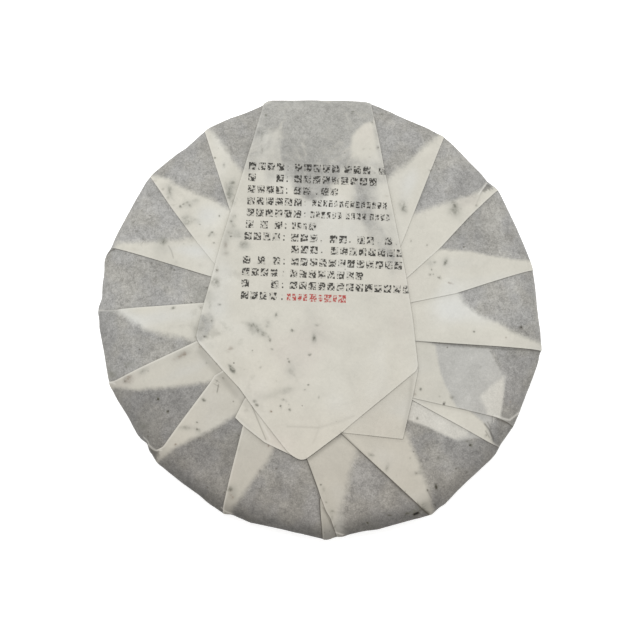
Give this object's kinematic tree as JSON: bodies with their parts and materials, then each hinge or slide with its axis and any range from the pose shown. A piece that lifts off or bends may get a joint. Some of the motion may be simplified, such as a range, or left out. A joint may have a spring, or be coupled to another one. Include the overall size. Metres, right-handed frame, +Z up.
{
  "type": "wrapped pu erh tea cake",
  "caption": "Round pressed tea cake shut in a thin pale paper wrapper, lying on its smooth front with the pleated and folded back up.",
  "frame": {"origin": "on the ground under the middle of the cake", "axes": "+Z up through the cake's thickness, out of its pleated back; +Y towards the side that the closing flap comes from, which is the top of the printed lines; +X to the right of that"},
  "size_m": [0.2038, 0.2032, 0.0223],
  "materials": {
    "wrapper_paper": "thin matt cotton paper, warm off-white where it lies folded and grey where the dark tea shows through a single layer"
  },
  "bodies": {
    "root": {"wrapped_tea_cake": "wrapper_paper"}
  },
  "joints": []
}
